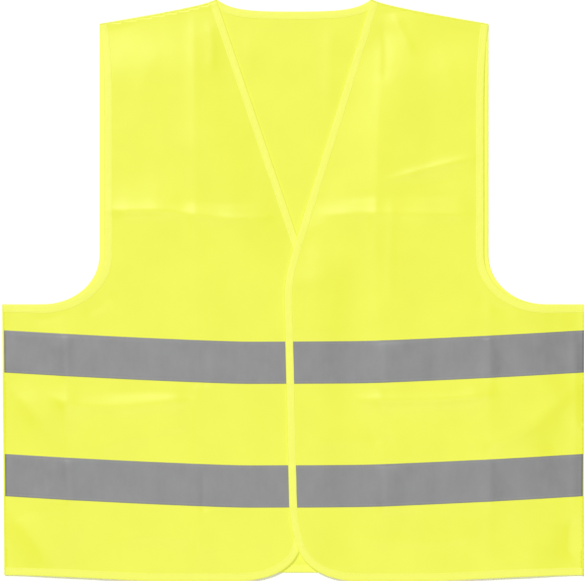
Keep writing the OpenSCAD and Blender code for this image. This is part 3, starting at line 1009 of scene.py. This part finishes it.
def stitch_tree():
    """Stitches along every line of the input mesh: one short bead of thread for each pitch."""
    inputs = [("Pitch", "Float"), ("Stitch length", "Float"), ("Thread", "Float"), ("Material", "Material")]
    tree, given, end = new_tree("lock_stitches", inputs)
    line = add(tree, "GeometryNodeMeshToCurve", {}, {"Mesh": given["Geometry"]})
    spaced = add(tree, "GeometryNodeResampleCurve", {"mode": "LENGTH"},
                 {"Curve": line.outputs["Curve"], "Length": given["Pitch"]})
    along = add(tree, "GeometryNodeInputTangent")
    turn = add(tree, "FunctionNodeAlignRotationToVector", {"axis": "X"}, {"Vector": along.outputs["Tangent"]})
    size = add(tree, "ShaderNodeCombineXYZ", {},
               {"X": given["Stitch length"], "Y": given["Thread"], "Z": given["Thread"]})
    bead = add(tree, "GeometryNodeMeshUVSphere", {}, {"Segments": 6, "Rings": 4, "Radius": 0.5})
    placed = add(tree, "GeometryNodeInstanceOnPoints", {},
                 {"Points": spaced.outputs["Curve"], "Instance": bead.outputs["Mesh"],
                  "Rotation": turn.outputs["Rotation"], "Scale": size.outputs["Vector"]})
    return close_tree(tree, placed.outputs["Instances"], given["Material"], end)


def pile_tree():
    """Hooks or loops on every point of the input mesh: an arc of fine filament, turned at random."""
    sizes = [(label, "Float") for label in ("Radius", "Sweep", "Filament", "Spread", "Tilt")]
    tree, given, end = new_tree("closure_pile", sizes + [("Seed", "Int"), ("Material", "Material")])
    arc = add(tree, "GeometryNodeCurveArc", {},
              {"Resolution": 7, "Radius": given["Radius"], "Sweep Angle": given["Sweep"]})
    ring = add(tree, "GeometryNodeCurvePrimitiveCircle", {}, {"Resolution": 3, "Radius": given["Filament"]})
    wire = add(tree, "GeometryNodeCurveToMesh", {},
               {"Curve": arc.outputs["Curve"], "Profile Curve": ring.outputs["Curve"], "Fill Caps": True})
    upright = add(tree, "GeometryNodeTransform", {},
                  {"Geometry": wire.outputs["Mesh"], "Rotation": (math.pi / 2, 0, 0)})
    low = add(tree, "ShaderNodeMath", {"operation": "MULTIPLY"}, {0: given["Spread"], 1: -1.0})
    least, most = (add(tree, "ShaderNodeCombineXYZ", {}, {"X": turn, "Y": turn, "Z": turn}).outputs["Vector"]
                   for turn in (low.outputs["Value"], given["Spread"]))
    turn = add(tree, "FunctionNodeRandomValue", {"data_type": "FLOAT_VECTOR"},
               {"Min": least, "Max": most, "Seed": given["Seed"]})
    lean = add(tree, "ShaderNodeCombineXYZ", {}, {"X": given["Tilt"]})
    angle = add(tree, "ShaderNodeVectorMath", {"operation": "ADD"},
                {0: turn.outputs["Value"], 1: lean.outputs["Vector"]})
    placed = add(tree, "GeometryNodeInstanceOnPoints", {},
                 {"Points": given["Geometry"], "Instance": upright.outputs["Geometry"],
                  "Rotation": angle.outputs["Vector"]})
    return close_tree(tree, placed.outputs["Instances"], given["Material"], end)


def grown(name, tree, points, lines, values):
    """The plain mesh that a tree makes from points and the lines between them."""
    mesh = bpy.data.meshes.new(name + "_guide")
    mesh.from_pydata(np.asarray(points).tolist(), lines, [])
    guide = bpy.data.objects.new(name + "_guide", mesh)
    bpy.context.collection.objects.link(guide)
    modifier = guide.modifiers.new("made", "NODES")
    modifier.node_group = tree
    for item in tree.interface.items_tree:
        if item.in_out == "INPUT" and item.name in values:
            modifier[item.identifier] = values[item.name]
    ready = guide.evaluated_get(bpy.context.evaluated_depsgraph_get())
    made = bpy.data.objects.new(name, bpy.data.meshes.new_from_object(ready))
    bpy.context.collection.objects.link(made)
    bpy.data.objects.remove(guide)
    return made


STITCHES = stitch_tree()
PILE = pile_tree()


def sew(name, rows, material, pitch=STITCH):
    """Stitches along some rows of places."""
    lines, start = [], 0
    for row in rows:
        lines += [(start + k, start + k + 1) for k in range(len(row) - 1)]
        start += len(row)
    values = {"Pitch": pitch, "Stitch length": pitch * 0.86, "Thread": THREAD, "Material": material}
    return grown(name, STITCHES, np.concatenate(rows), lines, values)


# ---------------------------------------------------------------- closure and label


def join_pieces(name, pieces):
    """Several mesh objects as one."""
    with bpy.context.temp_override(
        active_object=pieces[0], selected_objects=pieces, selected_editable_objects=pieces
    ):
        bpy.ops.object.join()
    pieces[0].name = name
    return pieces[0]


def make_patch(name, node, layer, face, material, lift, pitch, pile):
    """A closure patch under (-1) or over (1) a cloth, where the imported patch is, and the rows of stitches
    round it. Its pile stands in staggered rows, pitch apart, with its middle at lift over the woven base."""
    low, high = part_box(node)
    base, width = CLOTH / 2 + 0.03 * MM, high.x - low.x
    top, inset, margin = base + PATCH, 1.6 * MM, 2.4 * MM
    stations = np.column_stack([np.full(18, low.x), np.linspace(low.y, high.y, 18)])
    across = np.tile([1.0, 0.0], (18, 1))
    half = [(0, base), (0, base + PATCH * 0.7), (0.3 * MM, top), (width / 2, top)]
    section = [(u, face * offset) for u, offset in half + [(width - u, v) for u, v in half[-2::-1]]]
    woven = strip_piece(name + "_base", [sweep(stations, across, section, layer)], material)

    left, right, foot, head = low.x + inset, high.x - inset, low.y + inset, high.y - inset
    row = even(np.array([(left, foot), (right, foot), (right, head), (left, head), (left, foot)]), 1.5 * MM)
    rows = [layer.place(row, face * top), layer.place(row, -face * (CLOTH / 2 + 0.05 * MM))]

    roots = []
    for k, y in enumerate(np.arange(low.y + margin, high.y - margin, pitch * 0.9)):
        x = np.arange(low.x + margin + pitch * 0.5 * (k % 2), high.x - margin, pitch)
        roots.append(np.column_stack([x, np.full(len(x), y)]))
    roots = layer.place(np.concatenate(roots), face * (top + lift))
    fibres = grown(name + "_pile", PILE, roots, [], {**pile, "Material": material})
    return join_pieces(name, [woven, fibres]), rows


def make_label():
    """The blank care label, caught in the left side seam and lying on the inside of the back."""
    low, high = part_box("care_label")
    x = np.linspace(low.x, high.x + 1.0 * MM, 26)
    stations = np.column_stack([x, np.full(len(x), low.y)])
    across = np.tile([0.0, 1.0], (len(x), 1))
    curl = between(0.5 * MM, 0, (x - low.x) / (16 * MM))
    base, steps = CLOTH / 2 + 0.06 * MM, np.linspace(0, high.y - low.y, 9)
    section = [(u, base + curl) for u in steps] + [(u, base + curl + 0.2 * MM) for u in steps[::-1]]
    return strip_piece("care_tag", [sweep(stations, across, section, back_layer)], ribbon)


# ---------------------------------------------------------------- floor, light and camera


def make_floor():
    """A wide sheet of matt white paper under the vest."""
    half = 60.0
    corners = [(-half, -half, 0), (half, -half, 0), (half, half, 0), (-half, half, 0)]
    paper = new_material("matt_white_paper", PAPER, Roughness=0.95, Specular_IOR_Level=0.0)[0]
    new_piece("floor", corners, [(0, 1, 2, 3)], paper)


def make_sun(name, place, power, width):
    """A soft sun, width degrees across, that shines from a place towards the middle of the vest."""
    data = bpy.data.lights.new(name, "SUN")
    data.energy, data.angle = power, math.radians(width)
    light = bpy.data.objects.new(name, data)
    bpy.context.collection.objects.link(light)
    light.location = place
    light.rotation_euler = (-light.location).to_track_quat("-Z", "Y").to_euler()


def make_studio():
    """Weak white light from all around."""
    world = bpy.data.worlds.new("studio")
    world.use_nodes = True
    background = world.node_tree.nodes["Background"].inputs
    background["Color"].default_value = linear("#ffffff")
    background["Strength"].default_value = 0.3
    bpy.context.scene.world = world
    bpy.context.scene.view_settings.view_transform = "Standard"


def make_camera():
    """Straight above the vest, three metres up, framed so that its width just fills the picture."""
    data = bpy.data.cameras.new("camera")
    camera = bpy.data.objects.new("camera", data)
    bpy.context.collection.objects.link(camera)
    height, view_w = 3.0, 0.6915
    data.sensor_width = 36
    data.lens = data.sensor_width * (height - FRONT_Z) / view_w
    camera.location = (-2.4 * MM, -0.6 * MM, height)
    bpy.context.scene.camera = camera


# ---------------------------------------------------------------- putting it together

cloth, outlines = make_cloths()
tapes, tape_rows = make_tapes()
edgings, edging_rows = make_edgings()
joins = {(side, which): make_join(side, which) for side in SIDES for which in ("shoulder", "side")}
hook_pile = {
    "Radius": 0.32 * MM, "Sweep": math.radians(235), "Filament": 0.09 * MM, "Spread": 0.15, "Tilt": math.pi,
    "Seed": 3,
}
loop_pile = {
    "Radius": 0.42 * MM, "Sweep": math.radians(300), "Filament": 0.05 * MM, "Spread": 0.9, "Tilt": 0.0,
    "Seed": 8,
}
hooks, hook_rows = make_patch(
    "closure_hooks", "hook_patch", front_layer[LEFT], -1, hook_nylon, 0.2 * MM, 1.3 * MM, hook_pile)
loops, loop_rows = make_patch(
    "closure_loops", "loop_patch", front_layer[RIGHT], 1, loop_nylon, 0.12 * MM, 0.95 * MM, loop_pile)
care_tag = make_label()

sewn_to = {LEFT: [], RIGHT: [], "back": []}


def settle(piece, where, slot, *nodes, body=None):
    """Puts a piece on the cloth of one front or of the back. It rides on a body, or is baked in place on the
    front.
    """
    if where == "back" or body:
        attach(piece, body or "vest_body")
    else:
        bend(piece)
    if nodes:
        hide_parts(*nodes)
    sewn_to[where].append(piece)


for side in SIDES:
    name = SIDE_NAME[side]
    bend(cloth[side])
    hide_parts(name + "_front_panel", name + "_front_flap")
    for level in ("upper", "lower"):
        nodes = name + "_" + level + "_tape", name + "_flap_" + level + "_tape"
        settle(tapes[side, level], side, "reflective_tape", *nodes)
    settle(edgings[side], side, "edge_binding", name + "_flap_binding")
    settle(edgings[side, "armhole"], "back", "edge_binding", name + "_armhole_binding")
    for which in ("shoulder", "side"):
        settle(joins[side, which], "back", "knitted_cloth", name + "_" + which + "_seam")
    settle(sew(name + "_tape_stitches", tape_rows[side], grey_thread), side, "tape_thread")
    settle(sew(name + "_edge_stitches", edging_rows[side], yellow_thread), side, "sewing_thread")

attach(cloth["back"], "vest_body")
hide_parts("back_panel")
for level in ("upper", "lower"):
    settle(tapes["back", level], "back", "reflective_tape", "back_" + level + "_tape")
for name in ("neck", "hem"):
    settle(edgings[name], "back", "edge_binding", name + "_binding")
settle(sew("back_tape_stitches", tape_rows["back"], grey_thread), "back", "tape_thread")
settle(sew("back_edge_stitches", edging_rows["back"], yellow_thread), "back", "sewing_thread")
settle(care_tag, "back", "label_ribbon", "care_label")

settle(hooks, LEFT, "hook_tape", "hook_patch", body="left_flap")
settle(loops, RIGHT, "loop_tape", "loop_patch", body="right_flap")
for name, rows, side in (("hook_stitches", hook_rows, LEFT), ("loop_stitches", loop_rows, RIGHT)):
    settle(sew(name, rows, yellow_thread, PATCH_STITCH), side, "sewing_thread", body=FLAP[side])

make_floor()

make_sun("key", (-0.8, 1.45, 2.9), power=2.1, width=12)
make_sun("fill", (0.1, -0.95, 3.0), power=0.75, width=24)
make_studio()
make_camera()
